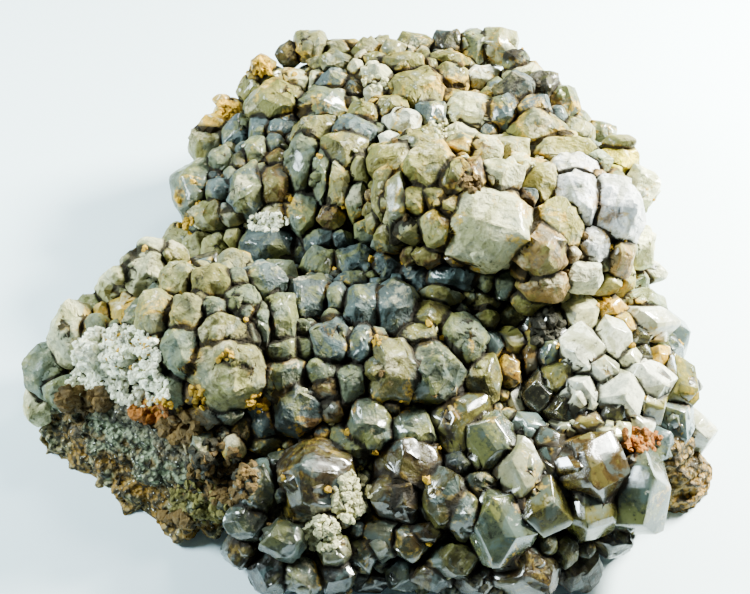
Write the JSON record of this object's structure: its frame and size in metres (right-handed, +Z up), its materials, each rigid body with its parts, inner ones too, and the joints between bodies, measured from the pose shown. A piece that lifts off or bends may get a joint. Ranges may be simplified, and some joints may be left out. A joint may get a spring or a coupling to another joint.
{
  "type": "garnet crystal specimen on matrix",
  "caption": "Grey-brown garnet crystals intergrown as a knobbly crust over a block of host rock with a broken end and a rusty spur, resting on a flat underside.",
  "frame": {"origin": "on the flat underside, below the middle of the block", "axes": "+X along the length, from the broken end towards the rusty spur; +Y towards the raised back; +Z up from the underside"},
  "size_m": [0.117, 0.1133, 0.0421],
  "materials": {
    "garnet": "satin crystal faces with dull, stained hollows",
    "rock": "rough, granular, rust-stained"
  },
  "bodies": {
    "root": {"garnet_crust": "garnet", "host_rock": "rock"}
  },
  "joints": []
}
